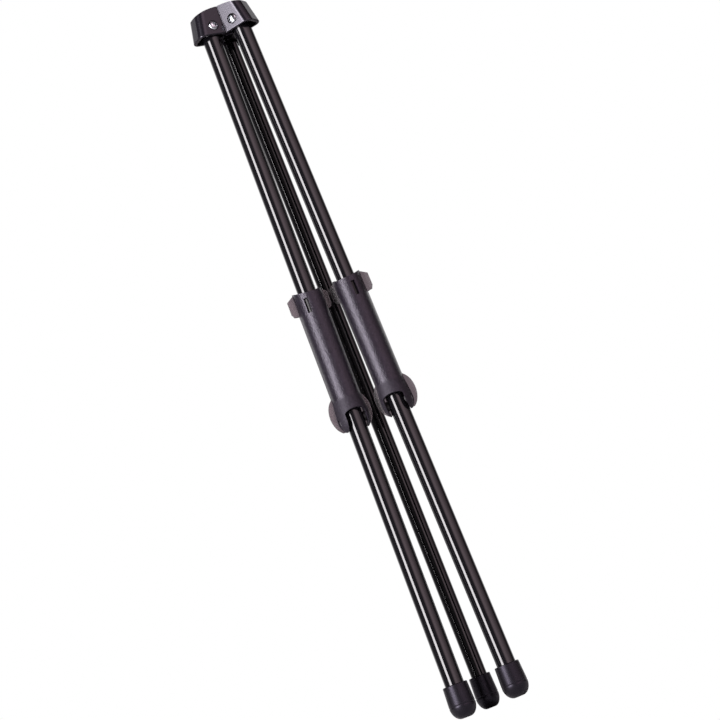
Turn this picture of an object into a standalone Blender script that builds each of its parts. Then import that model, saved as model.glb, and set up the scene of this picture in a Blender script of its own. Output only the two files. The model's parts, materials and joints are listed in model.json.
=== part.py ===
"""Folding three-legged floor stand for a stringed instrument, folded shut.

Three tube legs hang from pivot screws in a three-lobed moulded hub.  The two
front legs each carry a cradle arm: a channel that wraps the tube when shut and
swings forward on a cross pin.  Each arm is lined with a soft pad whose flat
wings stand out on both sides.

Metres, +Z up.  The front of the stand faces -Y, and the origin is the middle
of the base of the whole stand, between the feet.
"""

from math import acos, cos, degrees, pi, radians, sin, sqrt

import bmesh
import bpy
from mathutils import Matrix, Vector

# ---------------------------------------------------------------- dimensions
HUB_Y = -0.004286             # hub axis, from the middle of the stand's depth
PIVOT_Z = 0.7385              # leg pivots above the floor
PIVOT_RADIUS = 0.019          # leg pivots from the hub axis
GAP = 0.0003                  # between touching pieces

HUB_DROP = 0.010              # hub underside below the pivots
HUB_RISE = 0.0225             # where the lobes are measured at the top
DOME_RISE = 0.0215            # crown of the hub above the pivots
DOME_RADIUS = 0.085
CROWN_FLAT = 0.0055           # radius of the flat on the crown
LOBE_BASE = 0.0294            # lobe corner centres from the hub axis, underside
LOBE_TOP = 0.0223             # the same at the measured height
LOBE_CORNER = 0.0080          # rounding of a lobe's two corners
LOBE_HALF_BASE = 0.0130       # half width of a lobe, underside
LOBE_HALF_TOP = 0.0124        # the same at the measured height
HUB_EDGE = 0.0012             # rounding of the hub's lower edge
POCKET_HALF = 0.0098          # half width of the slot that a leg swings in
POCKET_BACK = 0.0103          # slot wall behind the pivot
POCKET_FRONT = 0.0106         # slot wall before the pivot, above it
POCKET_MOUTH = 0.0152         # slot wall before the pivot, at the underside
POCKET_RISE = 0.013           # slot roof above the pivot
CORE_RADIUS = 0.005           # moulding recess in the middle of the hub
CORE_DEPTH = 0.020

SCREW_RADIUS = 0.0030
SCREW_BORE = SCREW_RADIUS + GAP
SCREW_HEAD_RADIUS = 0.00525
SCREW_HEAD_HEIGHT = 0.0030
SOCKET_ACROSS = 0.0040        # hex socket across flats
SCREW_SEAT = 0.0123           # flat seat for the screw head, from the lobe's middle
SCREW_END = 0.0175
NUT_SEAT = 0.0116             # flat seat for the nut, from the lobe's middle
NUT_HEIGHT = 0.005
NUT_ACROSS = 0.010            # across flats
WASHER_RADIUS = 0.0068
WASHER_INSIDE = 0.0089        # washer face nearest the plug
WASHER_THICK = 0.0006

PLUG_RADIUS = 0.0092          # rounded head of a leg plug
PLUG_HALF = 0.0086            # half width of its flat-sided head
PLUG_NECK = 0.0072            # end of the head below the pivot
PLUG_LENGTH = 0.0435          # end of the spigot below the pivot

FRONT_TUBE_RADIUS = 0.0095
REAR_TUBE_RADIUS = 0.0080
TUBE_WALL = 0.0012
TUBE_TOP = 0.0075             # upper tube end below the pivot
TUBE_END = 0.0071             # lower tube end above the floor

CAP_HEIGHT = 0.0330
CAP_WALL = 0.0028             # beyond the tube at the rim
CAP_SWELL = 0.0009            # extra radius where the dome begins
CAP_DOME = 0.0125             # height of the dome
CAP_FLAT = 0.0040             # radius of the flat underside
CAP_FLOOR = 0.0050            # inner floor above the underside
DISC_THICK = 0.0015

FRONT_AZIMUTH = 60            # degrees each front leg stands round from -Y
FOLDED_SPLAY = 0.957          # degrees each front leg leans out when folded

ARM_PIN_Z = 0.308             # arm pin above the floor
ARM_TURN = 13                 # degrees each arm faces in from straight ahead
ARM_RADIUS = 0.0145           # outside of the arm's channel
ARM_INSIDE = 0.0121           # inside of the arm's channel
ARM_BACK = 0.0050             # channel edges behind the tube axis
ARM_TOP = 0.138               # channel end above the pin
ARM_TOP_SLOPE = 0.297         # the end is lower in front by this much per metre
ARCH_HALF = 0.0107            # half width of the arch over the tube
ARCH_SPRING = 0.0050          # arch corners above the pin
ARCH_TOP = 0.0088             # arch crown above the pin
SLOT_TURN = 30                # degrees the slot lies round to the outside
SLOT_WIDTH = 0.0042
SLOT_HEIGHT = 0.0152
SLOT_Z = 0.121                # slot centre above the pin

# Channel stations: height over the pin, outside radius, inside radius, back edge.
EAR_STATIONS = (
    (-0.0108, 0.0115, 0.0101, 0.0010),
    (-0.0090, 0.0131, 0.0108, 0.0032),
    (-0.0066, 0.0144, 0.0115, 0.0044),
    (-0.0034, 0.0156, 0.0121, 0.0050),
    (0.0007, 0.0161, 0.0121, 0.0050),
    (0.0066, 0.0160, 0.0121, 0.0050),
    (0.0130, 0.0154, 0.0121, 0.0050),
    (0.0220, ARM_RADIUS, ARM_INSIDE, ARM_BACK),
)

PAD_OUTSIDE = 0.0118
PAD_INSIDE = 0.0100
PAD_LIP = 0.0069              # liner edges behind the tube axis
PAD_START = 0.014             # liner end above the pin
WING_FRONT = ARM_BACK + GAP
WING_BACK = 0.0075
WING_INSIDE = 0.0104          # inner edge of the lip beside the liner
EAR_WING_INSIDE = 0.0100      # inner edge of the wing behind an ear
LOW_WING = (0.008, 0.0088, 0.0135, 0.0195)   # ellipse: centre x, z and half axes
TOP_WING = ((0.0145, 0.1161), (0.0194, 0.1168), (0.0213, 0.1206), (0.0213, 0.1336), (0.0139, 0.1385))

PIN_RADIUS = 0.0020
PIN_BORE = PIN_RADIUS + GAP
PIN_HEAD_RADIUS = 0.0032
PIN_SEAT = 0.0139             # flat seat for the pin's head and clip
PIN_HEAD_END = 0.0155
PIN_END = 0.0154
CLIP_END = 0.0149
SADDLE_RADIUS = 0.0050
SADDLE_OUTSIDE = 0.0118       # flat face of a saddle washer
SADDLE_SEAT = 0.0123          # flat seat for it inside an ear

ROUND = 36                    # sides of the tubes and caps
SMALL_ROUND = 20              # sides of pins, screws and their holes

FINISHES = {
    "hub_black": ((0.012, 0.012, 0.014), 0.12, 0.0),
    "tube_black": ((0.010, 0.010, 0.012), 0.10, 0.0),
    "plug_nylon": ((0.030, 0.030, 0.032), 0.45, 0.0),
    "screw_steel": ((0.180, 0.180, 0.190), 0.30, 1.0),
    "zinc_steel": ((0.550, 0.550, 0.560), 0.35, 1.0),
    "cap_rubber": ((0.028, 0.025, 0.034), 0.60, 0.0),
    "arm_plastic": ((0.050, 0.045, 0.058), 0.45, 0.0),
    "pad_elastomer": ((0.200, 0.180, 0.190), 0.50, 0.0),
}


# ------------------------------------------------------------------- helpers
def clear_scene():
    for item in list(bpy.data.objects):
        bpy.data.objects.remove(item, do_unlink=True)


def make_materials():
    made = {}
    for name, (colour, roughness, metallic) in FINISHES.items():
        finish = bpy.data.materials.new(name)
        finish.use_nodes = True
        shader = finish.node_tree.nodes["Principled BSDF"]
        shader.inputs["Base Color"].default_value = (*colour, 1.0)
        shader.inputs["Roughness"].default_value = roughness
        shader.inputs["Metallic"].default_value = metallic
        made[name] = finish
    return made


def empty(name, location, rotation, parent=None):
    frame = bpy.data.objects.new(name, None)
    frame.location = location
    frame.rotation_euler = rotation
    frame.parent = parent
    bpy.context.scene.collection.objects.link(frame)
    return frame


def skin(loops, wrap=False):
    """Join equal closed loops of points, and close the two ends unless they wrap."""
    form = bmesh.new()
    rows = [[form.verts.new(point) for point in loop] for loop in loops]
    pairs = list(zip(rows, rows[1:]))
    if wrap:
        pairs.append((rows[-1], rows[0]))
    count = len(rows[0])
    for low, high in pairs:
        for i in range(count):
            j = (i + 1) % count
            form.faces.new((low[i], low[j], high[j], high[i]))
    if not wrap:
        form.faces.new(list(reversed(rows[0])))
        form.faces.new(rows[-1])
    bmesh.ops.recalc_face_normals(form, faces=form.faces[:])
    return form


def turned(profile, steps, wrap=False, along_x=False):
    """Turn (radius, height) points about Z, or about X."""
    angles = [2 * pi * (i + 0.5) / steps for i in range(steps)]
    loops = [[Vector((r * cos(a), r * sin(a), z)) for a in angles] for r, z in profile]
    form = skin(loops, wrap)
    if along_x:
        form.transform(Matrix.Rotation(radians(90), 4, "Y"))
    return form


def rod(radius, start, end, steps=SMALL_ROUND, along_x=True):
    return turned(((radius, start), (radius, end)), steps, along_x=along_x)


def plate(outline, front, back):
    """Extrude an (x, z) outline along Y."""
    return skin([[Vector((x, y, z)) for x, z in outline] for y in (front, back)])


def block(half_x, front, back, low, high):
    return plate(((-half_x, low), (half_x, low), (half_x, high), (-half_x, high)), front, back)


def arc(centre, radii, start, end, steps):
    """Points on an ellipse from start to end degrees, both included."""
    points = []
    for i in range(steps + 1):
        angle = radians(start + (end - start) * i / steps)
        points.append((centre[0] + radii[0] * cos(angle), centre[1] + radii[1] * sin(angle)))
    return points


def add(name, form, finish, frame):
    mesh = bpy.data.meshes.new(name)
    form.to_mesh(mesh)
    form.free()
    mesh.shade_smooth()
    mesh.set_sharp_from_angle(angle=radians(32))
    piece = bpy.data.objects.new(name, mesh)
    if finish:
        mesh.materials.append(MATERIALS[finish])
    piece.parent = frame
    bpy.context.scene.collection.objects.link(piece)
    return piece


def change(piece, form, operation="DIFFERENCE", frame=None):
    """Cut a helper solid out of a piece, or join the two."""
    helper = add(f"{piece.name}_helper_{len(piece.modifiers)}", form, None, frame or piece.parent)
    helper.hide_render = True
    helper.display_type = "WIRE"
    modifier = piece.modifiers.new(helper.name, "BOOLEAN")
    modifier.operation = operation
    modifier.solver = "EXACT"
    modifier.object = helper
    return helper


def mirrored(form, side):
    """Flip a form across X for the left-hand piece."""
    if side < 0:
        form.transform(Matrix.Scale(-1, 4, Vector((1, 0, 0))))
        bmesh.ops.reverse_faces(form, faces=form.faces[:])
    return form


# ----------------------------------------------------------------------- hub
def lobed_outline(reach, half, z):
    """Three round-ended lobes at 120 degrees, meeting in sharp valleys."""
    points = []
    for azimuth in (FRONT_AZIMUTH, 180, -FRONT_AZIMUTH):
        turn = Matrix.Rotation(radians(azimuth), 3, "Z")
        side = half - LOBE_CORNER
        corners = arc((-side, -reach), (LOBE_CORNER, LOBE_CORNER), 180, 270, 6)
        corners += arc((side, -reach), (LOBE_CORNER, LOBE_CORNER), 270, 360, 6)
        for x, y in corners:
            points.append(turn @ Vector((x, y, z)))
        valley = turn @ Matrix.Rotation(radians(60), 3, "Z")
        points.append(valley @ Vector((0, -half / sin(radians(60)), z)))
    return points


def make_hub(leg_frames):
    low, high = -HUB_DROP, HUB_RISE
    span = high - low
    loops = []
    for z, inset in ((low, HUB_EDGE), (low + HUB_EDGE * 0.3, HUB_EDGE * 0.3), (low + HUB_EDGE, 0),
                     (high + 0.002, 0)):
        part = (z - low) / span
        reach = LOBE_BASE + (LOBE_TOP - LOBE_BASE) * part
        half = LOBE_HALF_BASE + (LOBE_HALF_TOP - LOBE_HALF_BASE) * part - inset
        loops.append(lobed_outline(reach, half, z))
    centre = empty("hub_axis", (0, HUB_Y, PIVOT_Z), (0, 0, 0))
    hub = add("hub_shell", skin(loops), "hub_black", centre)
    middle = DOME_RISE - sqrt(DOME_RADIUS ** 2 - CROWN_FLAT ** 2)
    crown = arc((0, middle), (DOME_RADIUS, DOME_RADIUS), 60, degrees(acos(CROWN_FLAT / DOME_RADIUS)), 12)
    change(hub, turned([(crown[0][0], low - 0.002)] + crown, ROUND), "INTERSECT")
    change(hub, rod(CORE_RADIUS, low - 0.002, low + CORE_DEPTH, along_x=False))
    for frame, head_side in leg_frames:
        change(hub, pocket(), frame=frame)
        change(hub, rod(SCREW_BORE, -0.020, 0.020), frame=frame)
        head_seat = rod(SCREW_HEAD_RADIUS + 0.0004, SCREW_SEAT, 0.020)
        change(hub, mirrored(head_seat, head_side), frame=frame)
        nut_seat = hexagon(NUT_ACROSS + 0.0006, NUT_SEAT, 0.020)
        change(hub, mirrored(nut_seat, -head_side), frame=frame)


def pocket():
    """The slot that a leg's head turns in, open below and leaning out to its mouth."""
    corner = 0.005
    loops = []
    for z, front in ((-HUB_DROP - 0.002, POCKET_MOUTH + 0.0009), (0, POCKET_FRONT),
                     (POCKET_RISE, POCKET_FRONT)):
        outline = arc((POCKET_HALF - corner, corner - front), (corner, corner), 0, -90, 5)
        outline += arc((corner - POCKET_HALF, corner - front), (corner, corner), -90, -180, 5)
        outline += [(-POCKET_HALF, POCKET_BACK), (POCKET_HALF, POCKET_BACK)]
        loops.append([Vector((x, y, z)) for x, y in outline])
    return skin(loops)


def hexagon(across, start, end):
    form = turned(((across / sqrt(3), start), (across / sqrt(3), end)), 6, along_x=True)
    return form


def make_pivot(name, frame, head_side):
    """Button-head screw, nut and two washers on one leg's pivot."""
    base = SCREW_SEAT + GAP
    dome = arc((0, base + 0.0006), (SCREW_HEAD_RADIUS, SCREW_HEAD_HEIGHT - 0.0006), 0, 72, 5)
    profile = [(SCREW_RADIUS * 0.8, -SCREW_END), (SCREW_RADIUS, -SCREW_END + 0.0006),
               (SCREW_RADIUS, base), (SCREW_HEAD_RADIUS, base)] + dome
    screw = add(f"{name}_pivot_screw", mirrored(turned(profile, SMALL_ROUND, along_x=True), head_side),
                "screw_steel", frame)
    change(screw, mirrored(hexagon(SOCKET_ACROSS, base + 0.001, base + 0.01), head_side))

    nut_base = NUT_SEAT + GAP
    nut = add(f"{name}_pivot_nut", mirrored(hexagon(NUT_ACROSS, nut_base, nut_base + NUT_HEIGHT), -head_side),
              "zinc_steel", frame)
    change(nut, rod(SCREW_BORE, -0.020, 0.020))

    ring = ((SCREW_BORE, WASHER_INSIDE), (WASHER_RADIUS, WASHER_INSIDE),
            (WASHER_RADIUS, WASHER_INSIDE + WASHER_THICK), (SCREW_BORE, WASHER_INSIDE + WASHER_THICK))
    for label, side in (("a", 1), ("b", -1)):
        form = mirrored(turned(ring, SMALL_ROUND, wrap=True, along_x=True), side)
        add(f"{name}_pivot_washer_{label}", form, "plug_nylon", frame)


# ---------------------------------------------------------------------- legs
def make_plug(name, frame, tube_radius):
    spigot = tube_radius - TUBE_WALL - GAP
    profile = ((PLUG_RADIUS, PLUG_RADIUS + 0.001), (PLUG_RADIUS, -PLUG_NECK), (spigot, -PLUG_NECK),
               (spigot, 0.0015 - PLUG_LENGTH), (spigot - 0.0015, -PLUG_LENGTH))
    plug = add(f"{name}_leg_plug", turned(profile, ROUND), "plug_nylon", frame)
    side = arc((0, 0), (PLUG_RADIUS, PLUG_RADIUS), 0, 180, 16)
    side += [(-PLUG_RADIUS - 0.001, -0.001), (-PLUG_RADIUS - 0.001, -0.060),
             (PLUG_RADIUS + 0.001, -0.060), (PLUG_RADIUS + 0.001, -0.001)]
    envelope = skin([[Vector((x, y, z)) for y, z in side] for x in (-PLUG_HALF, PLUG_HALF)])
    change(plug, envelope, "INTERSECT")
    change(plug, rod(SCREW_BORE, -0.020, 0.020))


def make_tube(name, frame, tube_radius):
    bore = tube_radius - TUBE_WALL
    top, end = -TUBE_TOP, TUBE_END - PIVOT_Z
    profile = ((bore, top), (tube_radius, top), (tube_radius, end), (bore, end))
    return add(f"{name}_leg_tube", turned(profile, ROUND, wrap=True), "tube_black", frame)


def make_foot(name, frame, tube_radius):
    floor = -PIVOT_Z
    rim = tube_radius + CAP_WALL
    swell = rim + CAP_SWELL
    bore = tube_radius + GAP
    dome = arc((CAP_FLAT, floor + CAP_DOME), (swell - CAP_FLAT, CAP_DOME), -90, 0, 7)
    profile = dome + [(rim + 0.0002, floor + CAP_HEIGHT - 0.0006), (rim - 0.0005, floor + CAP_HEIGHT),
                      (bore, floor + CAP_HEIGHT), (bore, floor + CAP_FLOOR)]
    add(f"{name}_foot_cap", turned(profile, ROUND), "cap_rubber", frame)

    low = floor + CAP_FLOOR + GAP
    disc = rod(tube_radius - 0.0002, low, low + DISC_THICK, along_x=False)
    add(f"{name}_foot_disc", disc, "zinc_steel", frame)


# ---------------------------------------------------------------------- arms
def channel_loop(outside, inside, back, height, slope=0.0):
    """One U-shaped section of a channel, open to the back."""
    outline = [(outside, back)] + arc((0, 0), (outside, outside), 0, -180, 22) + [(-outside, back)]
    outline += [(-inside, back)] + arc((0, 0), (inside, inside), -180, 0, 22) + [(inside, back)]
    return [Vector((x, y, height + slope * y)) for x, y in outline]


def make_arm_shell(name, frame, side):
    loops = [channel_loop(outside, inside, back, z) for z, outside, inside, back in EAR_STATIONS]
    loops.append(channel_loop(ARM_RADIUS, ARM_INSIDE, ARM_BACK, ARM_TOP, ARM_TOP_SLOPE))
    shell = add(f"{name}_arm_shell", skin(loops), "arm_plastic", frame)

    rise = ARCH_TOP - ARCH_SPRING
    crown = arc((0, ARCH_SPRING), (ARCH_HALF, rise), 0, 180, 10)
    change(shell, plate([(-ARCH_HALF, -0.03), (ARCH_HALF, -0.03)] + crown, -0.03, -0.0005))
    change(shell, rod(PIN_BORE, -0.025, 0.025))
    for end in (1, -1):
        change(shell, mirrored(rod(PIN_HEAD_RADIUS + 0.0004, PIN_SEAT, 0.025), end))
        change(shell, mirrored(rod(SADDLE_RADIUS + 0.0006, 0.008, SADDLE_SEAT), end))
    change(shell, slot_form(side))


def slot_form(side):
    """A radial block that opens the slot through the channel's wall."""
    form = block(SLOT_WIDTH / 2, -0.018, -0.0085, SLOT_Z - SLOT_HEIGHT / 2, SLOT_Z + SLOT_HEIGHT / 2)
    form.transform(Matrix.Rotation(radians(SLOT_TURN * side), 4, "Z"))
    return form


def wing_outline():
    """Flange outline on one side: low rounded wing, narrow lip, chamfered top wing."""
    x, z, half_x, half_z = LOW_WING
    low = arc((x, z), (half_x, half_z), -66, 62, 14)
    start = (EAR_WING_INSIDE, low[0][1])
    lip = [(ARM_RADIUS - 0.0004, low[-1][1] + 0.0015)]
    return [start] + low + lip + list(TOP_WING) + [
        (WING_INSIDE, TOP_WING[-1][1]), (WING_INSIDE, PAD_START), (EAR_WING_INSIDE, PAD_START - 0.001)]


def make_arm_pad(name, frame, side):
    loops = [channel_loop(PAD_OUTSIDE, PAD_INSIDE, PAD_LIP, PAD_START),
             channel_loop(PAD_OUTSIDE, PAD_INSIDE, PAD_LIP, ARM_TOP - 0.0012, ARM_TOP_SLOPE)]
    for loop in loops[1:]:
        for point in loop:
            point.z = min(point.z, ARM_TOP)
    pad = add(f"{name}_arm_pad", skin(loops), "pad_elastomer", frame)
    for end in (1, -1):
        change(pad, mirrored(plate(wing_outline(), WING_FRONT, WING_BACK), end), "UNION")


def make_arm_pin(name, frame, side):
    seat = PIN_SEAT + GAP
    profile = ((PIN_RADIUS, -PIN_END), (PIN_RADIUS, seat), (PIN_HEAD_RADIUS, seat),
               (PIN_HEAD_RADIUS, PIN_HEAD_END - 0.0005), (PIN_HEAD_RADIUS - 0.0008, PIN_HEAD_END))
    add(f"{name}_arm_pin", mirrored(turned(profile, SMALL_ROUND, along_x=True), side), "screw_steel", frame)

    clip = ((PIN_BORE, seat), (PIN_HEAD_RADIUS, seat), (PIN_HEAD_RADIUS, CLIP_END), (PIN_BORE, CLIP_END))
    form = mirrored(turned(clip, SMALL_ROUND, wrap=True, along_x=True), -side)
    add(f"{name}_arm_pin_clip", form, "zinc_steel", frame)

    for label, end in (("outer", side), ("inner", -side)):
        saddle = add(f"{name}_arm_saddle_{label}", mirrored(rod(SADDLE_RADIUS, 0.0080, SADDLE_OUTSIDE), end),
                     "plug_nylon", frame)
        change(saddle, rod(FRONT_TUBE_RADIUS + GAP, -0.02, 0.02, ROUND, along_x=False))
        change(saddle, rod(PIN_BORE, -0.025, 0.025))


# ------------------------------------------------------------------ assembly
def leg_frame(name, azimuth, splay):
    """Empty on a leg's pivot: +Z up the leg, -Y the way the leg swings out."""
    out = Matrix.Rotation(radians(azimuth), 3, "Z") @ Vector((0, -PIVOT_RADIUS, 0))
    place = (out.x, HUB_Y + out.y, PIVOT_Z)
    return empty(f"{name}_leg_pivot", place, (radians(-splay), 0, radians(azimuth)))


def level_frame(name, azimuth):
    """The same place without the lean, for what is fixed in the hub."""
    out = Matrix.Rotation(radians(azimuth), 3, "Z") @ Vector((0, -PIVOT_RADIUS, 0))
    return empty(f"{name}_pivot_seat", (out.x, HUB_Y + out.y, PIVOT_Z), (0, 0, radians(azimuth)))


clear_scene()
MATERIALS = make_materials()

LEGS = (
    ("left", -FRONT_AZIMUTH, FOLDED_SPLAY, FRONT_TUBE_RADIUS, 1),
    ("right", FRONT_AZIMUTH, FOLDED_SPLAY, FRONT_TUBE_RADIUS, -1),
    ("rear", 180, 0.0, REAR_TUBE_RADIUS, 1),
)
seats = []
for leg, azimuth, splay, tube_radius, head_side in LEGS:
    seat = level_frame(leg, azimuth)
    seats.append((seat, head_side))
    make_pivot(leg, seat, head_side)
    pivot = leg_frame(leg, azimuth, splay)
    make_plug(leg, pivot, tube_radius)
    tube = make_tube(leg, pivot, tube_radius)
    make_foot(leg, pivot, tube_radius)
    if leg == "rear":
        continue
    side = 1 if leg == "right" else -1
    turn = radians(-side * ARM_TURN - azimuth)
    arm = empty(f"{leg}_arm_pivot", (0, 0, ARM_PIN_Z - PIVOT_Z), (0, 0, turn), pivot)
    change(tube, rod(PIN_BORE, -0.025, 0.025), frame=arm)
    make_arm_shell(leg, arm, side)
    make_arm_pad(leg, arm, side)
    make_arm_pin(leg, arm, side)
make_hub(seats)
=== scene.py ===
"""Looks of the folding three-legged instrument stand: fine pieces, finishes, light and camera.

Every leg piece is made in its leg's own frame, with Z up the tube, and every
arm piece in its arm's frame, with X along the pin.  The frames come from the
record's joints, and each finished mesh is moved to its place.
"""
import json
from math import asin, cos, pi, radians, sin, sqrt

import bmesh
import bpy
from mathutils import Matrix, Vector


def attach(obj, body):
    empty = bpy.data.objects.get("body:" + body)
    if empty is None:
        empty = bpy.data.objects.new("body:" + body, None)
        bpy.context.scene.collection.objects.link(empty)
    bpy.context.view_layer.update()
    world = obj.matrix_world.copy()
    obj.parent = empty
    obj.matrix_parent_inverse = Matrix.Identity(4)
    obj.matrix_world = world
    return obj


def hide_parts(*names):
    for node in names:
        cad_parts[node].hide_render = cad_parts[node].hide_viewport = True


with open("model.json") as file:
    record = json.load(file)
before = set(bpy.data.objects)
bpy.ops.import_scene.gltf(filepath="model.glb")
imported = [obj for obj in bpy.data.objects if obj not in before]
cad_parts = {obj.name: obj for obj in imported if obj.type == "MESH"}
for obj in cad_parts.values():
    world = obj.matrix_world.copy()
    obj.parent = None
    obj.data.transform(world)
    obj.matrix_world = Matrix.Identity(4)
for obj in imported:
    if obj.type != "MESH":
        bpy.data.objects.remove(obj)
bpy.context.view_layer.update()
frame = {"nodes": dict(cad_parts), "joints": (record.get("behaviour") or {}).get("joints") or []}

GAP = 0.0003                  # between touching pieces
FRONT_TUBE, REAR_TUBE = 0.0095, 0.0080
TUBE_WALL = 0.0012
ROUND = 96                    # sides of what is turned
SMALL_ROUND = 48


def joint(name):
    """A joint of the record by name."""
    return next(item for item in frame["joints"] if item["name"] == name)


# ---------------------------------------------------------------- finishes
# A Mix node's colour sockets share their names with others, so they go by number.
MIX_FIRST, MIX_SECOND, MIX_RESULT = 6, 7, 2
MIDDLE = (0.3, 0.7)           # where most of a noise's values lie
WHOLE = (0.0, 1.0)
LINER_EDGE = (0.0119, 0.0122)     # from the leg's axis: the liner ends, the wings begin
MATT_EDGE = (0.3285, 0.3310)      # height where the arm's ears turn into its channel


def linear(code):
    """sRGB hex to linear colour."""
    values = [int(code[i:i + 2], 16) / 255 for i in (1, 3, 5)]
    return (*(v / 12.92 if v <= 0.04045 else ((v + 0.055) / 1.055) ** 2.4 for v in values), 1.0)


def add_node(tree, kind, inputs=None, **settings):
    """Add a node, set its options, and fill its inputs with values or other nodes' outputs."""
    made = tree.nodes.new(kind)
    for key, value in settings.items():
        setattr(made, key, value)
    for key, value in (inputs or {}).items():
        if isinstance(value, bpy.types.NodeSocket):
            tree.links.new(value, made.inputs[key])
        else:
            made.inputs[key].default_value = value
    return made


def make_finish(name, patterns=None, colours=(), varied=None, relief=None, **sockets):
    """A Principled material on Object coordinates.

    patterns  by name: a noise's blotch size in mm, detail, roughness and any
              squeeze along Z, or a function that works the pattern out
    colours   pattern, its values where the blend starts and ends, and the two
              colours, where None is the blend before
    varied    by socket: pattern, the same two values, and the socket's values there
    relief    pattern, depth in mm, strength
    """
    finish = bpy.data.materials.new(name)
    finish.use_nodes = True
    tree = finish.node_tree
    shader = tree.nodes["Principled BSDF"]
    for key, value in sockets.items():
        shader.inputs[key.replace("_", " ")].default_value = value
    where = add_node(tree, "ShaderNodeTexCoord").outputs["Object"]
    made = {}
    for key, pattern in (patterns or {}).items():
        if callable(pattern):
            made[key] = pattern(tree, where)
            continue
        size_mm, detail, roughness, *squeeze = pattern
        place = where
        for scale in squeeze:
            place = add_node(tree, "ShaderNodeMapping", {
                "Vector": where, "Scale": (1.0, 1.0, scale)}).outputs["Vector"]
        noise = add_node(tree, "ShaderNodeTexNoise", {
            "Vector": place, "Scale": 1000 / size_mm, "Detail": detail, "Roughness": roughness})
        made[key] = noise.outputs["Fac"]
    colour = None
    for key, (start, end), first, second in colours:
        share = add_node(tree, "ShaderNodeMapRange", {
            "Value": made[key], "From Min": start, "From Max": end})
        blend = add_node(tree, "ShaderNodeMix", {
            "Factor": share.outputs["Result"], MIX_FIRST: linear(first),
            MIX_SECOND: linear(second) if second else colour}, data_type="RGBA")
        colour = blend.outputs[MIX_RESULT]
        tree.links.new(colour, shader.inputs["Base Color"])
    for socket, (key, (start, end), low, high) in (varied or {}).items():
        value = add_node(tree, "ShaderNodeMapRange", {
            "Value": made[key], "From Min": start, "From Max": end, "To Min": low, "To Max": high})
        tree.links.new(value.outputs["Result"], shader.inputs[socket])
    if relief:
        key, depth_mm, strength = relief
        bump = add_node(tree, "ShaderNodeBump", {
            "Height": made[key], "Distance": depth_mm / 1000, "Strength": strength})
        tree.links.new(bump.outputs["Normal"], shader.inputs["Normal"])
    return finish


def height_up(tree, where):
    return add_node(tree, "ShaderNodeSeparateXYZ", {"Vector": where}).outputs["Z"]


def away_from_leg(tree, where):
    """Distance from a front leg's axis, worked out for the right leg and mirrored for the left."""
    pivot, pin = (Vector(joint(name)["pos_m"]) for name in ("right_leg_fold", "right_arm_fold"))
    parts = add_node(tree, "ShaderNodeSeparateXYZ", {"Vector": where})
    mirrored = add_node(tree, "ShaderNodeMath", {0: parts.outputs["X"]}, operation="ABSOLUTE")
    point = add_node(tree, "ShaderNodeCombineXYZ", {
        "X": mirrored.outputs["Value"], "Y": parts.outputs["Y"], "Z": parts.outputs["Z"]})
    arm = add_node(tree, "ShaderNodeVectorMath", {0: point.outputs["Vector"], 1: pin}, operation="SUBTRACT")
    along = add_node(tree, "ShaderNodeVectorMath", {0: arm.outputs["Vector"], 1: pivot - pin},
                     operation="PROJECT")
    away = add_node(tree, "ShaderNodeVectorMath", {0: arm.outputs["Vector"], 1: along.outputs["Vector"]},
                    operation="DISTANCE")
    return away.outputs["Value"]


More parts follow.
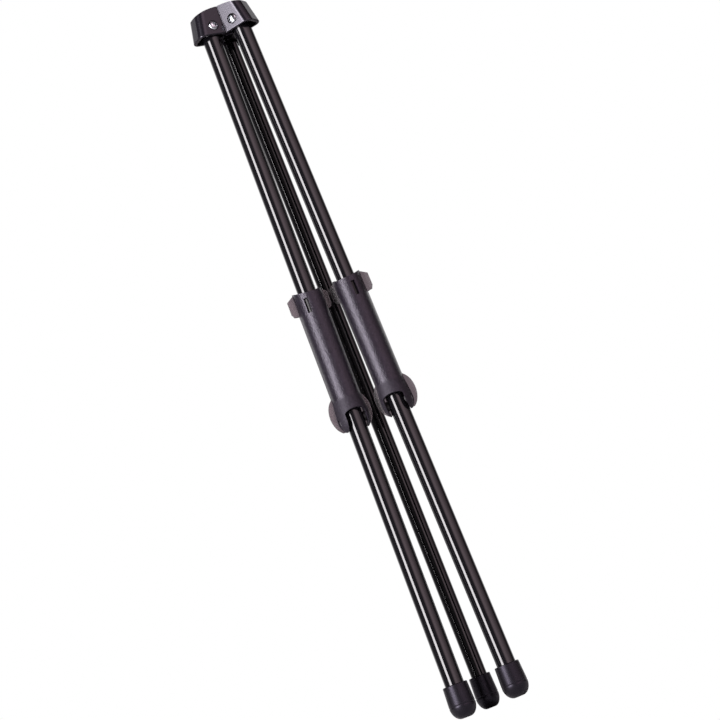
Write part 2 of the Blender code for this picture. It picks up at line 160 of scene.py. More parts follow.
FINISHES = {
    # Stoved black enamel on drawn steel tube: a mirror with a faint orange peel,
    # its gloss varying in lines along the tube.
    "tube_black": make_finish(
        "gloss_enamel", {"peel": (2.6, 1.0, 0.5), "lines": (0.9, 2.0, 0.5, 0.02)},
        varied={"Roughness": ("lines", MIDDLE, 0.06, 0.11)}, relief=("peel", 0.010, 0.35),
        Base_Color=linear("#0b0a0d"), IOR=1.50),
    # Black ABS from a polished mould: soft gloss with slight sink waves.
    "hub_black": make_finish(
        "polished_abs", {"waves": (16.0, 1.0, 0.5), "fine": (3.0, 2.0, 0.5)},
        varied={"Roughness": ("fine", MIDDLE, 0.21, 0.23)}, relief=("waves", 0.06, 0.30),
        Base_Color=linear("#100e13"), IOR=1.57, Specular_Tint=linear("#e8e4f2")),
    # Black polypropylene from a spark-eroded mould: an even grain that breaks the
    # sheen, matt on the ears and half gloss on the channel.  The real grain is
    # about 0.4 mm, and is drawn at 2 mm so that it still shows.
    "arm_plastic": make_finish(
        "grained_polypropylene", {"grain": (2.0, 3.0, 0.7), "height": height_up},
        colours=[("grain", (0.35, 0.65), "#0b080e", "#1b161f")],
        varied={"Roughness": ("height", MATT_EDGE, 0.60, 0.34)}, relief=("grain", 0.60, 0.80),
        IOR=1.50, Specular_Tint=linear("#ece6f4")),
    # Black PVC of the foot caps: half matt, with a fine grain and paler scuffs.
    "cap_rubber": make_finish(
        "moulded_rubber", {"grain": (1.0, 2.0, 0.6), "scuff": (5.0, 4.0, 0.6)},
        colours=[("scuff", (0.45, 0.75), "#060507", "#0c0b0d")],
        varied={"Roughness": ("grain", MIDDLE, 0.33, 0.41)}, relief=("grain", 0.06, 0.3),
        IOR=1.45, Specular_Tint=linear("#d2cbe2")),
    # Moulded thermoplastic elastomer: smoke grey in the wings, which let light through. Round the tube it is
    # near black, partly the liner's own dark colour and partly painted shade, so that the slot in the
    # channel reads as a shaded hole.
    "pad_elastomer": make_finish(
        "smoke_elastomer", {"cloud": (6.0, 2.0, 0.5), "grain": (1.1, 2.0, 0.5), "away": away_from_leg},
        colours=[("cloud", WHOLE, "#675d62", "#6e6469"), ("away", LINER_EDGE, "#060506", None)],
        varied={"Roughness": ("grain", MIDDLE, 0.22, 0.30),
                "Transmission Weight": ("away", LINER_EDGE, 0.0, 1.0)},
        relief=("grain", 0.08, 0.3), IOR=1.45, Specular_IOR_Level=0.25),
    # Nickel-plated steel of the screws and pins: bright, with fine handling marks.
    "screw_steel": make_finish(
        "nickel_steel", {"marks": (0.8, 4.0, 0.65)},
        varied={"Roughness": ("marks", MIDDLE, 0.10, 0.20)}, relief=("marks", 0.02, 0.3),
        Base_Color=linear("#b9bdc2"), Metallic=1.0),
    # Zinc-plated steel of the nuts, clips and discs: duller, faintly clouded.
    "zinc_steel": make_finish(
        "zinc_steel", {"cloud": (2.2, 3.0, 0.5)}, colours=[("cloud", WHOLE, "#9ca0a6", "#b9babb")],
        varied={"Roughness": ("cloud", MIDDLE, 0.28, 0.42)}, Metallic=1.0),
    # Black nylon of the plugs, washers and saddles: waxy, half matt.
    "plug_nylon": make_finish(
        "black_nylon", {"fine": (1.2, 2.0, 0.5)},
        varied={"Roughness": ("fine", MIDDLE, 0.40, 0.52)}, relief=("fine", 0.04, 0.3),
        Base_Color=linear("#1c1a1d"), IOR=1.53),
}


# ------------------------------------------------------------------- makers
def square_frame(x_axis, z_axis, place):
    """A frame at a place, with X along its axis and Z as near its own as can be."""
    x = Vector(x_axis).normalized()
    z = (Vector(z_axis) - x * x.dot(Vector(z_axis))).normalized()
    y = z.cross(x)
    return Matrix(((x.x, y.x, z.x, place[0]), (x.y, y.y, z.y, place[1]),
                   (x.z, y.z, z.z, place[2]), (0, 0, 0, 1)))


def piece(name, form, place=None):
    """Turn a bmesh into an object at the origin with its place in its mesh."""
    mesh = bpy.data.meshes.new(name)
    form.to_mesh(mesh)
    form.free()
    if place:
        mesh.transform(place)
    made = bpy.data.objects.new(name, mesh)
    bpy.context.scene.collection.objects.link(made)
    return made


def fit_out(made, slot, body, *nodes, edge=0.0):
    """Give the piece the finish of its slot and its edge rounding, hang it on its body, and hide the CAD
    nodes that it stands for.
    """
    made.data.materials.clear()
    made.data.materials.append(FINISHES[slot])
    made.data.shade_smooth()
    made.data.set_sharp_from_angle(angle=radians(28))
    if edge:
        rounding = made.modifiers.new("edges", "BEVEL")
        rounding.width = edge
        rounding.segments = 2
        rounding.limit_method = "ANGLE"
        rounding.angle_limit = radians(40)
        rounding.harden_normals = False
        made.data.shade_smooth()
        weight = made.modifiers.new("normals", "WEIGHTED_NORMAL")
        weight.keep_sharp = True
    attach(made, body)
    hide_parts(*nodes)
    return made


def cut(made, *forms, operation="DIFFERENCE", place=None):
    """Cut forms out of a piece, or join them to it, and keep the result as its mesh."""
    tools = []
    for index, form in enumerate(forms):
        tool = piece(f"{made.name}_tool_{index}", form, place)
        step = made.modifiers.new(tool.name, "BOOLEAN")
        step.operation = operation
        step.solver = "EXACT"
        step.object = tool
        tools.append(tool)
    shaped = made.evaluated_get(bpy.context.evaluated_depsgraph_get())
    mesh = bpy.data.meshes.new_from_object(shaped)
    made.modifiers.clear()
    old, made.data = made.data, mesh
    bpy.data.meshes.remove(old)
    for tool in tools:
        bpy.data.meshes.remove(tool.data)
    return made


def soften(form, radius, segments=3):
    """Bevel the sharp edges of a form."""
    edges = [e for e in form.edges if e.is_manifold and e.calc_face_angle() > radians(30)]
    bmesh.ops.bevel(form, geom=edges, offset=radius, segments=segments, profile=0.5,
                    affect="EDGES", material=-1, clamp_overlap=True)
    return form


def turned(profile, steps=ROUND, closed=False, along_x=False):
    """Spin (radius, height) points about Z, or about X, into a closed skin."""
    form = bmesh.new()
    chain = [form.verts.new((r, 0, z)) for r, z in profile]
    pairs = list(zip(chain, chain[1:]))
    if closed:
        pairs.append((chain[-1], chain[0]))
    edges = [form.edges.new(pair) for pair in pairs]
    bmesh.ops.spin(form, geom=chain + edges, cent=(0, 0, 0), axis=(0, 0, 1), dvec=(0, 0, 0),
                   angle=2 * pi, steps=steps, use_merge=True, use_duplicate=False)
    bmesh.ops.remove_doubles(form, verts=form.verts[:], dist=1e-6)
    bmesh.ops.holes_fill(form, edges=form.edges[:], sides=0)
    bmesh.ops.recalc_face_normals(form, faces=form.faces[:])
    if along_x:
        bmesh.ops.rotate(form, verts=form.verts[:], cent=(0, 0, 0), matrix=Matrix.Rotation(pi / 2, 3, "Y"))
    return form


def rod(radius, start, end, steps=SMALL_ROUND, along_x=True):
    """A cylinder along X, or along Z."""
    return turned(((0, start), (radius, start), (radius, end), (0, end)), steps, along_x=along_x)


def curve(centre, radii, start, end, steps):
    """Points on an ellipse, from start to end degrees."""
    angles = [radians(start + (end - start) * i / steps) for i in range(steps + 1)]
    return [(centre[0] + radii[0] * cos(a), centre[1] + radii[1] * sin(a)) for a in angles]


def prism(points, offset):
    """Fill a flat outline and extrude it by offset."""
    form = bmesh.new()
    face = form.faces.new([form.verts.new(point) for point in points])
    raised = bmesh.ops.extrude_face_region(form, geom=[face])["geom"]
    tops = [item for item in raised if isinstance(item, bmesh.types.BMVert)]
    bmesh.ops.translate(form, verts=tops, vec=offset)
    bmesh.ops.recalc_face_normals(form, faces=form.faces[:])
    return form


def hexagon(across, start, end):
    """A hexagon prism along X."""
    radius = across / sqrt(3)
    outline = [(start, radius * cos(radians(30 + 60 * i)), radius * sin(radians(30 + 60 * i)))
               for i in range(6)]
    return prism(outline, (end - start, 0, 0))


def flipped(form, side):
    """Mirror a form across X for the other hand."""
    if side < 0:
        bmesh.ops.scale(form, vec=(-1, 1, 1), verts=form.verts[:])
        bmesh.ops.recalc_face_normals(form, faces=form.faces[:])
    return form


# --------------------------------------------------------------------- hub
LOBE_HALF = (0.0130, 0.0124)          # half width of a lobe, underside and at HUB_RISE
LOBE_REACH = (0.0374, 0.0303)         # lobe tip from the hub's axis, the same
LOBE_CORNER = 0.0080
VALLEY_BEVEL = 0.0006
HUB_DROP, HUB_RISE = 0.010, 0.0225    # underside and upper measure from the pivots
HUB_SPARE = 0.002                     # walls past the dome before it trims them
RIM_ROUND, CROWN_ROUND = 0.0014, 0.0012
DOME_RISE, DOME_RADIUS, CROWN_FLAT = 0.0215, 0.085, 0.0055
GROOVE_RADIUS, GROOVE_REACH, GROOVE_LEAN = 0.0008, 0.0149, -1.2
CORE_HOLE = (0.005, 0.020)            # radius and depth of the hollow under the hub
POCKET_HALF, POCKET_CORNER, POCKET_BACK = 0.0098, 0.005, 0.0103
# Heights of the pocket's rings and its front wall there.
POCKET_RINGS = ((-HUB_DROP - HUB_SPARE, 0.0161), (0, 0.0106), (0.013, 0.0106))
PIVOT_BORE, HEAD_HOLE, HEAD_SEAT = 0.0033, 0.00565, 0.0123
NUT_HOLE, NUT_SEAT = 0.0106, 0.0116   # across the flats, and how far out it begins
THROUGH = 0.020                       # past the hub's walls on both sides of a pivot
HEAD_RADIUS, HEAD_HEIGHT, HEX_KEY = 0.00525, 0.0030, 0.0040
NUT_ACROSS, NUT_HEIGHT = 0.010, 0.005


def lobe_points(height):
    """Nine sharp corners: two on each lobe's tip and one in each valley."""
    part = (height + HUB_DROP) / (HUB_RISE + HUB_DROP)
    half = LOBE_HALF[0] + (LOBE_HALF[1] - LOBE_HALF[0]) * part
    reach = LOBE_REACH[0] + (LOBE_REACH[1] - LOBE_REACH[0]) * part
    points = []
    for azimuth in (60, 180, -60):
        turn = Matrix.Rotation(radians(azimuth), 3, "Z")
        valley = Matrix.Rotation(radians(azimuth + 60), 3, "Z")
        points += [turn @ Vector((-half, -reach, height)), turn @ Vector((half, -reach, height)),
                   valley @ Vector((0, -half / sin(radians(60)), height))]
    return points


def make_hub():
    """Three lobes under a shallow dome, with a pocket, a screw and a nut seat for each leg."""
    pivots = [Vector(joint(f"{leg}_leg_fold")["pos_m"]) for leg in ("left", "right", "rear")]
    centre = sum(pivots, Vector()) / 3
    form = bmesh.new()
    loops = []
    for height in (-HUB_DROP, HUB_RISE + HUB_SPARE):
        ring = [form.verts.new(point) for point in lobe_points(height)]
        loops += [form.edges.new((a, b)) for a, b in zip(ring, ring[1:] + ring[:1])]
        form.faces.new(ring)
    bmesh.ops.bridge_loops(form, edges=loops)
    bmesh.ops.recalc_face_normals(form, faces=form.faces[:])
    upright = [e for e in form.edges if abs(e.verts[0].co.z - e.verts[1].co.z) > HUB_RISE]
    corners = [e for e in upright if e.verts[0].co.xy.length > 0.02]
    valleys = [e for e in upright if e not in corners]
    for edges, radius, segments in ((corners, LOBE_CORNER, 14), (valleys, VALLEY_BEVEL, 6)):
        bmesh.ops.bevel(form, geom=edges, offset=radius, segments=segments, profile=0.5,
                        affect="EDGES", material=-1)
    rim = [e for e in form.edges if all(abs(v.co.z + HUB_DROP) < 1e-5 for v in e.verts)]
    bmesh.ops.bevel(form, geom=rim, offset=RIM_ROUND, segments=6, profile=0.5,
                    affect="EDGES", material=-1)
    middle_of_hub = Matrix.Translation(centre)
    hub = piece("hub", form, middle_of_hub)
    middle = DOME_RISE - sqrt(DOME_RADIUS ** 2 - CROWN_FLAT ** 2)
    crown = curve((0, middle), (DOME_RADIUS, DOME_RADIUS), 60, 86.29, 30)
    cut(hub, turned([(0, -0.03), (crown[0][0], -0.03)] + crown + [(0, DOME_RISE)]),
        operation="INTERSECT", place=middle_of_hub)
    round_crown(hub, centre)
    radius, depth = CORE_HOLE
    cut(hub, rod(radius, -HUB_DROP - HUB_SPARE, -HUB_DROP + depth, along_x=False), place=middle_of_hub)
    for azimuth in (0, 120, 240):
        turn = Matrix.Rotation(radians(azimuth), 4, "Z") @ Matrix.Translation((0, -GROOVE_REACH, 0))
        cut(hub, rod(GROOVE_RADIUS, -0.020, 0.030, 16, along_x=False),
            place=middle_of_hub @ turn @ Matrix.Rotation(radians(GROOVE_LEAN), 4, "X"))
    for leg, head_side in HEAD_SIDES.items():
        cut(hub, pocket(), rod(PIVOT_BORE, -THROUGH, THROUGH),
            flipped(rod(HEAD_HOLE, HEAD_SEAT, THROUGH), head_side),
            flipped(hexagon(NUT_HOLE, NUT_SEAT, THROUGH), -head_side), place=SEAT_FRAMES[leg])
    return fit_out(hub, "hub_black", "hub", "hub_shell", edge=0.00035)


def round_crown(hub, centre):
    """Round the edge between the domed top and the walls."""
    form = bmesh.new()
    form.from_mesh(hub.data)
    bmesh.ops.remove_doubles(form, verts=form.verts[:], dist=1e-6)
    bmesh.ops.dissolve_limit(form, angle_limit=radians(0.05), verts=form.verts[:], edges=form.edges[:])
    rim = [e for e in form.edges if e.is_manifold and e.calc_face_angle() > radians(35)
           and min(v.co.z for v in e.verts) > centre.z + 0.005
           and max(abs(f.normal.z) for f in e.link_faces) > 0.8]
    bmesh.ops.bevel(form, geom=rim, offset=CROWN_ROUND, segments=5, profile=0.5, affect="EDGES",
                    material=-1, clamp_overlap=True)
    form.to_mesh(hub.data)
    form.free()


def pocket():
    """The slot that a leg's head turns in, leaning out to its mouth."""
    half, corner = POCKET_HALF, POCKET_CORNER
    form = bmesh.new()
    loops = []
    for height, front in POCKET_RINGS:
        outline = curve((half - corner, corner - front), (corner, corner), 0, -90, 8)
        outline += curve((corner - half, corner - front), (corner, corner), -90, -180, 8)
        outline += [(-half, POCKET_BACK), (half, POCKET_BACK)]
        ring = [form.verts.new((x, y, height)) for x, y in outline]
        loops.append([form.edges.new((a, b)) for a, b in zip(ring, ring[1:] + ring[:1])])
        if height != 0:
            form.faces.new(ring)
    bmesh.ops.bridge_loops(form, edges=loops[0] + loops[1])
    bmesh.ops.bridge_loops(form, edges=loops[1] + loops[2])
    bmesh.ops.recalc_face_normals(form, faces=form.faces[:])
    return form


def make_pivot(leg, head_side):
    """Button-head screw and nut of one leg's pivot."""
    place = SEAT_FRAMES[leg]
    base = HEAD_SEAT + GAP
    shank = PIVOT_BORE - GAP
    profile = [(0, -0.0175), (shank - 0.0006, -0.0175), (shank, -0.0169), (shank, base), (HEAD_RADIUS, base)]
    profile += curve((0, base + 0.0005), (HEAD_RADIUS, HEAD_HEIGHT - 0.0005), 0, 66, 10)
    profile += [(0.0021, base + HEAD_HEIGHT), (0, base + HEAD_HEIGHT)]
    screw = piece(f"{leg}_screw", flipped(turned(profile, 64, along_x=True), head_side), place)
    cut(screw, flipped(hexagon(HEX_KEY, base + 0.0012, base + 0.01), head_side), place=place)
    fit_out(screw, "screw_steel", "hub", f"{leg}_pivot_screw", edge=0.00015)

    start = NUT_SEAT + GAP
    nut = piece(f"{leg}_nut", flipped(hexagon(NUT_ACROSS, start, start + NUT_HEIGHT), -head_side), place)
    # Two cones round the nut's corners off.
    cone = [(0, start - 0.001), (0.0048, start - 0.001), (0.0062, start + 0.0008),
            (0.0062, start + 0.0042), (0.0049, start + 0.0056), (0, start + 0.0056)]
    cut(nut, flipped(turned(cone, 64, along_x=True), -head_side), operation="INTERSECT", place=place)
    cut(nut, rod(PIVOT_BORE, -THROUGH, THROUGH), place=place)
    fit_out(nut, "zinc_steel", "hub", f"{leg}_pivot_nut", edge=0.00012)


# -------------------------------------------------------------------- legs
TUBE_TOP, TUBE_LIFT = -0.0075, 0.0071     # tube ends below the pivot and above the floor
TUBE_EDGE, END_LOOP = 0.0004, 0.001
PLUG_ROUND, PLUG_HALF, PLUG_RISE = 0.0092, 0.0086, 0.0102
PLUG_SHOULDER, PLUG_END = -0.0072, -0.0435
CAP_FLAT, CAP_DOME, CAP_HEIGHT, CAP_FLOOR = 0.0040, 0.0125, 0.0330, 0.005
CAP_RIM, CAP_SWELL = 0.0028, 0.0037       # beyond the tube at the rim and at the crease


def make_leg(leg, radius):
    """Tube, the plug that carries its pivot, and its foot."""
    place = LEG_FRAMES[leg]
    body = f"{leg}_leg"
    drop = place.translation.z
    bore = radius - TUBE_WALL
    end = TUBE_LIFT - drop
    # Loops next to the ends keep the long wall's normals level.
    profile = ((bore, TUBE_TOP), (radius, TUBE_TOP), (radius, TUBE_TOP - END_LOOP), (radius, end + END_LOOP),
               (radius, end), (bore, end))
    tube = piece(f"{leg}_tube", soften(turned(profile, closed=True), TUBE_EDGE), place)
    if leg in ARM_FRAMES:
        cut(tube, rod(PIN_BORE, -ARM_THROUGH, ARM_THROUGH), place=ARM_FRAMES[leg])
    fit_out(tube, "tube_black", body, f"{leg}_leg_tube")

    spigot = bore - GAP
    plug = piece(f"{leg}_plug", turned((
        (0, PLUG_RISE), (PLUG_ROUND, PLUG_RISE), (PLUG_ROUND, PLUG_SHOULDER), (spigot, PLUG_SHOULDER),
        (spigot, PLUG_END + 0.0015), (spigot - 0.0015, PLUG_END), (0, PLUG_END))), place)
    # The head is rounded about the pivot and flat on both sides.
    side = curve((0, 0), (PLUG_ROUND, PLUG_ROUND), 0, 180, 32)
    side += [(-PLUG_RISE, -0.001), (-PLUG_RISE, -0.060), (PLUG_RISE, -0.060), (PLUG_RISE, -0.001)]
    envelope = prism([(-PLUG_HALF, y, z) for y, z in side], (2 * PLUG_HALF, 0, 0))
    cut(plug, envelope, operation="INTERSECT", place=place)
    cut(plug, rod(PIVOT_BORE, -THROUGH, THROUGH), place=place)
    fit_out(plug, "plug_nylon", body, f"{leg}_leg_plug", edge=0.0004)
    make_foot(leg, radius, drop, place)


def make_foot(leg, radius, drop, place):
    """Push-on cap: straight skirt, rounded rim, and a dome that begins at a crease."""
    floor = -drop
    rim, swell, bore = radius + CAP_RIM, radius + CAP_SWELL, radius + 0.0002
    crease, top = floor + CAP_DOME, floor + CAP_HEIGHT
    profile = [(0, floor)] + curve((CAP_FLAT, crease), (swell - CAP_FLAT, CAP_DOME), -90, -3, 20)
    profile += [(swell - 0.00030, crease + 0.0004), (swell - 0.00008, crease + 0.0009),
                (swell - 0.00005, crease + 0.0017), (rim + 0.0001, top - 0.0022),
                (rim + 0.0001, top - 0.0014)]
    profile += curve((rim - 0.0011, top - 0.0012), (0.0012, 0.0012), 0, 90, 6)
    profile += curve((bore + 0.0006, top - 0.0006), (0.0006, 0.0006), 90, 180, 4)
    profile += [(bore, floor + CAP_FLOOR), (0, floor + CAP_FLOOR)]
    cap = piece(f"{leg}_cap", turned(profile), place)
    fit_out(cap, "cap_rubber", f"{leg}_leg", f"{leg}_foot_cap")


# -------------------------------------------------------------------- arms
ARM_TOP, ARM_SLOPE = 0.138, 0.297     # channel end above the pin, and its fall to the front
ARCH_HALF, ARCH_SPRING, ARCH_CROWN = 0.0107, 0.0050, 0.0088
SLOT_WIDTH, SLOT_HEIGHT, SLOT_Z, SLOT_TURN = 0.0042, 0.0152, 0.121, 30
PIN_RADIUS, PIN_BORE, PIN_HEAD, PIN_SEAT = 0.0020, 0.0023, 0.0032, 0.0139
PIN_END, PIN_HEAD_END, CLIP_END = 0.0154, 0.0155, 0.0149
ARM_THROUGH = 0.025
SADDLE_HOLE, SADDLE_START, SADDLE_END = 0.0056, 0.008, 0.0123
LINER = (0.0118, 0.0100, 0.0069)      # outside radius, inside radius, edge behind the leg's axis
LINER_START, LINER_TOP = 0.014, 0.1368
WING_FRONT, WING_THICK = 0.0053, 0.0022
LOW_WING = ((0.008, 0.0088), (0.0135, 0.0195))    # ellipse: centre and half axes
TOP_WING = ((0.0145, 0.1161), (0.0194, 0.1168), (0.0213, 0.1206), (0.0213, 0.1336), (0.0139, 0.1385))
LIP_INSIDE, EAR_WING_INSIDE = 0.0104, 0.0100
# Heights over the pin, with the outside radius, inside radius and back edge there.
BELL = (
    (-0.0108, 0.0115, 0.0104, 0.0010), (-0.0100, 0.0124, 0.0107, 0.0024),
    (-0.0090, 0.0131, 0.0109, 0.0032), (-0.0078, 0.0138, 0.0112, 0.0039),
    (-0.0066, 0.0144, 0.0115, 0.0044), (-0.0050, 0.0151, 0.0119, 0.0048),
    (-0.0034, 0.0156, 0.0121, 0.0050), (-0.0012, 0.0160, 0.0121, 0.0050),
    (0.0010, 0.0161, 0.0121, 0.0050), (0.0066, 0.0160, 0.0121, 0.0050),
    (0.0130, 0.0154, 0.0121, 0.0050), (0.0170, 0.0149, 0.0121, 0.0050),
    (0.0205, 0.0146, 0.0121, 0.0050), (0.0220, 0.0145, 0.0121, 0.0050),
)


def sleeve(outside_at, inside_at, back_at, low, high):
    """A channel round the tube, open at the back: a wall section spun half a turn, its ends pulled back."""
    form = bmesh.new()
    heights = [station[0] for station in BELL if low <= station[0] <= high]
    heights += [low + (high - low) * i / 24 for i in range(25)]
    heights = sorted({round(h, 5) for h in heights if h <= high})
    outer = [form.verts.new((outside_at(h), 0, h)) for h in heights]
    inner = [form.verts.new((inside_at(h), 0, h)) for h in heights]
    section = [form.faces.new((a, b, d, c)) for a, b, c, d in zip(outer, outer[1:], inner, inner[1:])]
    geom = section + outer + inner + list({e for f in section for e in f.edges})
    bmesh.ops.spin(form, geom=geom, cent=(0, 0, 0), axis=(0, 0, 1), dvec=(0, 0, 0),
                   angle=-pi, steps=40, use_merge=False, use_duplicate=False)
    bmesh.ops.remove_doubles(form, verts=form.verts[:], dist=1e-6)
    ends = [f for f in form.faces if all(abs(v.co.y) < 1e-6 for v in f.verts)]
    pulled = bmesh.ops.extrude_face_region(form, geom=ends)["geom"]
    bmesh.ops.delete(form, geom=ends, context="FACES_ONLY")
    for item in pulled:
        if isinstance(item, bmesh.types.BMVert):
            item.co.y = back_at(item.co.z)
    inner_faces = [f for f in form.faces if all(len(e.link_faces) > 2 for e in f.edges)]
    bmesh.ops.delete(form, geom=inner_faces, context="FACES")
    for vert in form.verts:
        if vert.co.z > high - 1e-5:
            vert.co.z += ARM_SLOPE * vert.co.y
    bmesh.ops.recalc_face_normals(form, faces=form.faces[:])
    return form


def station(column):
    """Read one column of the bell table at a height."""
    def read(height):
        if height >= BELL[-1][0]:
            return BELL[-1][column]
        for low, high in zip(BELL, BELL[1:]):
            if low[0] <= height <= high[0]:
                part = (height - low[0]) / (high[0] - low[0])
                return low[column] + (high[column] - low[column]) * part
        return BELL[0][column]
    return read


def make_arm(side_name, side):
    """Channel with its arch, ears, slot and bores, then what it carries and hangs on."""
    place = ARM_FRAMES[side_name]
    body = f"{side_name}_arm"
    shell = piece(f"{side_name}_arm_channel", sleeve(
        station(1), station(2), station(3), BELL[0][0], ARM_TOP), place)
    arch = [(-ARCH_HALF, -0.03), (ARCH_HALF, -0.03)]
    arch += curve((0, ARCH_SPRING), (ARCH_HALF, ARCH_CROWN - ARCH_SPRING), 0, 180, 20)
    head_hole = PIN_HEAD + 0.0004
    cut(shell, prism([(x, -0.03, z) for x, z in arch], (0, 0.0295, 0)),
        rod(PIN_BORE, -ARM_THROUGH, ARM_THROUGH),
        rod(head_hole, PIN_SEAT, ARM_THROUGH), rod(head_hole, -ARM_THROUGH, -PIN_SEAT),
        rod(SADDLE_HOLE, SADDLE_START, SADDLE_END), rod(SADDLE_HOLE, -SADDLE_END, -SADDLE_START),
        slot_block(side), place=place)
    fit_out(shell, "arm_plastic", body, f"{side_name}_arm_shell", edge=0.0004)
    make_pad(side_name, place, body)
    make_arm_pin(side_name, side, place)


def slot_block(side):
    """A radial block that opens the slot through the channel's wall, turned to the outside."""
    half, low, high = SLOT_WIDTH / 2, SLOT_Z - SLOT_HEIGHT / 2, SLOT_Z + SLOT_HEIGHT / 2
    form = prism([(-half, -0.018, low), (half, -0.018, low), (half, -0.018, high), (-half, -0.018, high)],
                 (0, 0.0095, 0))
    bmesh.ops.rotate(form, verts=form.verts[:], cent=(0, 0, 0),
                     matrix=Matrix.Rotation(radians(SLOT_TURN * side), 3, "Z"))
    return form


def make_pad(side_name, place, body):
    """Soft liner of the channel with its wings: low rounded one, narrow lip, chamfered top one."""
    outside, inside, back = LINER
    liner = piece(f"{side_name}_pad", sleeve(
        lambda h: outside, lambda h: inside, lambda h: back, LINER_START, LINER_TOP), place)
    wing = curve(*LOW_WING, -66, 62, 28)
    outline = [(EAR_WING_INSIDE, wing[0][1])] + wing + [(0.0141, wing[-1][1] + 0.0015), *TOP_WING]
    outline += [(LIP_INSIDE, TOP_WING[-1][1]), (LIP_INSIDE, LINER_START),
                (EAR_WING_INSIDE, LINER_START - 0.001)]
    forms = [flipped(prism([(x, WING_FRONT, z) for x, z in outline], (0, WING_THICK, 0)), end)
             for end in (1, -1)]
    cut(liner, *forms, operation="UNION", place=place)
    fit_out(liner, "pad_elastomer", body, f"{side_name}_arm_pad", edge=0.0003)


def make_arm_pin(side_name, side, place):
    """Headed pin of an arm's hinge, and the ring that holds its plain end."""
    body = f"{side_name}_leg"
    seat = PIN_SEAT + GAP
    profile = [(0, -PIN_END), (PIN_RADIUS - 0.0004, -PIN_END), (PIN_RADIUS, 0.0004 - PIN_END),
               (PIN_RADIUS, seat), (PIN_HEAD, seat)]
    profile += curve((PIN_HEAD - 0.0010, PIN_HEAD_END - 0.0010), (0.0010, 0.0010), 0, 80, 6)
    profile += [(0, PIN_HEAD_END)]
    pin = piece(f"{side_name}_pin", flipped(turned(profile, SMALL_ROUND, along_x=True), side), place)
    fit_out(pin, "screw_steel", body, f"{side_name}_arm_pin")
    ring = ((0.0022, seat), (PIN_HEAD, seat), (PIN_HEAD, CLIP_END), (0.0022, CLIP_END))
    clip = piece(f"{side_name}_clip", flipped(soften(
        turned(ring, SMALL_ROUND, closed=True, along_x=True), 0.0001, 2), -side), place)
    fit_out(clip, "zinc_steel", body, f"{side_name}_arm_pin_clip")


# ---------------------------------------------------------------- assembly
HEAD_SIDES = {"left": 1, "right": -1, "rear": 1}
SEAT_FRAMES, LEG_FRAMES, ARM_FRAMES = {}, {}, {}
for leg in HEAD_SIDES:
    fold = joint(f"{leg}_leg_fold")
    pivot, across = Vector(fold["pos_m"]), -Vector(fold["axis"])
    SEAT_FRAMES[leg] = square_frame(across, (0, 0, 1), pivot)
    LEG_FRAMES[leg] = SEAT_FRAMES[leg]
    if leg != "rear":
        swing = joint(f"{leg}_arm_fold")
        pin_place = Vector(swing["pos_m"])
        LEG_FRAMES[leg] = square_frame(across, pivot - pin_place, pivot)
        ARM_FRAMES[leg] = square_frame(swing["axis"], pivot - pin_place, pin_place)

make_hub()
for leg, head_side in HEAD_SIDES.items():
    make_pivot(leg, head_side)
    make_leg(leg, REAR_TUBE if leg == "rear" else FRONT_TUBE)
for side_name, side in (("left", -1), ("right", 1)):
    make_arm(side_name, side)

SLOT_OF = {"pivot_washer_a": "plug_nylon", "pivot_washer_b": "plug_nylon", "foot_disc": "zinc_steel",
           "arm_saddle_outer": "plug_nylon", "arm_saddle_inner": "plug_nylon"}
for name, cad in frame["nodes"].items():
    for ending, slot in SLOT_OF.items():
        if name.endswith(ending):
            for holder in cad.material_slots:
                holder.material = FINISHES[slot]


# ------------------------------------------------------------------- stage
FLOOR_Z = -0.0003
STRIP_SIZE, STRIP_RADIANCE = (0.62, 1.56), 18.0
STRIP_BEARING, STRIP_AWAY, STRIP_Z = -44, 1.45, 0.80
CAMERA_TARGET, CAMERA_AWAY = (0.0037, -0.0163, 0.3615), 1.979
CAMERA_AZIMUTH, CAMERA_ROLL = -2.85, 21.6
PALE, GREY = "#dedede", (1.0, 0.98, 1.0)
WARM = (1.0, 0.78, 0.86)
WARM_FROM, WARM_TO = 4, 120
# Brightness round the stand, by bearing in degrees from straight ahead towards its right.
ROOM = ((-179.9, 1.0), (-136, 1.0), (-126, 0.4), (-112, 0.12), (-20, 0.10), (3, 0.10), (9, 0.55),
        (22, 2.0), (34, 2.0), (58, 1.2), (88, 0.38), (102, 0.08), (122, 0.08), (136, 1.0), (179.9, 1.0))


def make_floor():
    """Pale paper under the feet."""
    form = bmesh.new()
    bmesh.ops.create_circle(form, cap_ends=True, segments=96, radius=6.0)
    floor = piece("floor", form, Matrix.Translation((0, 0, FLOOR_Z)))
    floor.data.materials.append(make_finish("paper_sweep", Base_Color=linear(PALE), Roughness=0.9))


def room_stops():
    """Ramp places and colours of the room, at half strength because the background doubles them."""
    stops = []
    for bearing, value in ROOM:
        turn = (180 - bearing) if bearing >= 0 else (-180 - bearing)
        tint = WARM if WARM_FROM < bearing < WARM_TO else GREY
        stops.append((turn / 360 + 0.5, (*(value * part / 2 for part in tint), 1.0)))
    return sorted(stops)


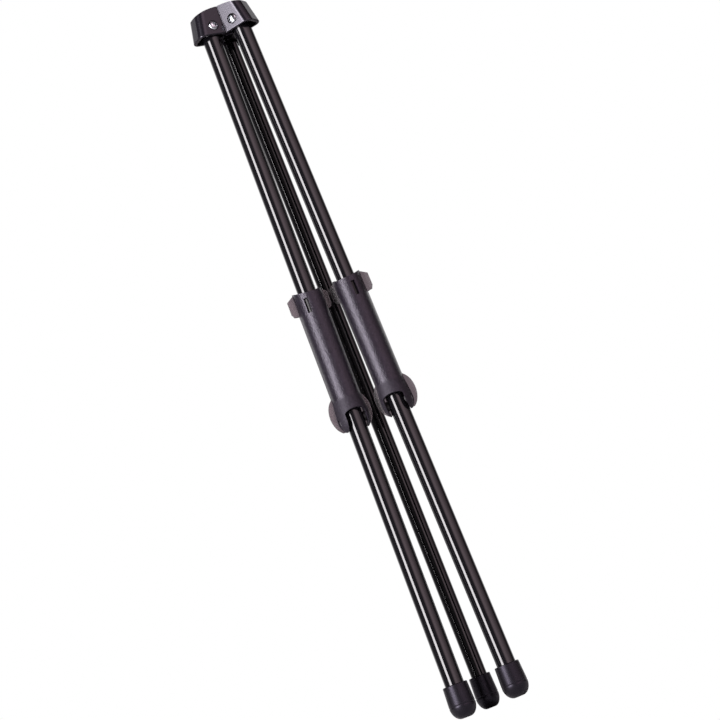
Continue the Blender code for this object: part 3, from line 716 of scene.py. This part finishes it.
def make_world():
    """White room behind, dim in front and above, with a pale wall to the right."""
    world = bpy.data.worlds.new("studio")
    bpy.context.scene.world = world
    world.use_nodes = True
    tree = world.node_tree
    tree.nodes.clear()
    where = add_node(tree, "ShaderNodeTexCoord").outputs["Generated"]
    parts = add_node(tree, "ShaderNodeSeparateXYZ", {"Vector": where})
    bearing = add_node(tree, "ShaderNodeMath", {0: parts.outputs["X"], 1: parts.outputs["Y"]},
                       operation="ARCTAN2")
    turns = add_node(tree, "ShaderNodeMapRange", {
        "Value": bearing.outputs["Value"], "From Min": -pi, "From Max": pi, "To Min": 0.0, "To Max": 1.0})
    ring = add_node(tree, "ShaderNodeValToRGB", {"Fac": turns.outputs["Result"]})
    ramp = ring.color_ramp
    while len(ramp.elements) < len(ROOM):
        ramp.elements.new(0.5)
    for element, (place, colour) in zip(ramp.elements, room_stops()):
        element.position = place
        element.color = colour
    ceiling = add_node(tree, "ShaderNodeMapRange", {
        "Value": parts.outputs["Z"], "From Min": 0.50, "From Max": 0.70, "To Min": 2.0, "To Max": 0.25})
    around = add_node(tree, "ShaderNodeBackground", {
        "Color": ring.outputs["Color"], "Strength": ceiling.outputs["Result"]})
    seen = add_node(tree, "ShaderNodeBackground", {"Color": (1, 1, 1, 1), "Strength": 1.0})
    path = add_node(tree, "ShaderNodeLightPath")
    chosen = add_node(tree, "ShaderNodeMixShader", {
        "Fac": path.outputs["Is Camera Ray"], 1: around.outputs[0], 2: seen.outputs[0]})
    add_node(tree, "ShaderNodeOutputWorld", {"Surface": chosen.outputs[0]})


def strip_light():
    """Tall softbox to the front left."""
    light = bpy.data.lights.new("strip", "AREA")
    light.shape = "RECTANGLE"
    light.size, light.size_y = STRIP_SIZE
    light.energy = STRIP_RADIANCE * pi * light.size * light.size_y
    light.color = (1.0, 0.965, 0.995)
    lamp = bpy.data.objects.new("strip", light)
    bearing = radians(STRIP_BEARING)
    lamp.location = (STRIP_AWAY * sin(bearing), -STRIP_AWAY * cos(bearing), STRIP_Z)
    lamp.rotation_mode = "QUATERNION"
    lamp.rotation_quaternion = (lamp.location - Vector((0, 0, STRIP_Z))).to_track_quat("Z", "Y")
    lamp.visible_camera = False
    bpy.context.scene.collection.objects.link(lamp)


def make_camera():
    """Camera at floor level, looking up at the stand and rolled."""
    target = Vector(CAMERA_TARGET)
    below = asin((target.z - FLOOR_Z) / CAMERA_AWAY)
    azimuth, roll = radians(CAMERA_AZIMUTH), radians(CAMERA_ROLL)
    back = Vector((sin(azimuth) * cos(below), -cos(azimuth) * cos(below), -sin(below)))
    level = (-back).cross(Vector((0, 0, 1))).normalized()
    up = level.cross(-back)
    right = cos(roll) * level - sin(roll) * up
    high = sin(roll) * level + cos(roll) * up
    lens = bpy.data.cameras.new("camera")
    lens.lens, lens.sensor_width = 100.0, 36.0
    camera = bpy.data.objects.new("camera", lens)
    place = target + back * CAMERA_AWAY
    camera.matrix_world = Matrix(((right.x, high.x, back.x, place.x), (right.y, high.y, back.y, place.y),
                                  (right.z, high.z, back.z, place.z), (0, 0, 0, 1)))
    bpy.context.scene.collection.objects.link(camera)
    bpy.context.scene.camera = camera


make_floor()
make_world()
strip_light()
make_camera()
bpy.context.scene.view_settings.view_transform = "Standard"
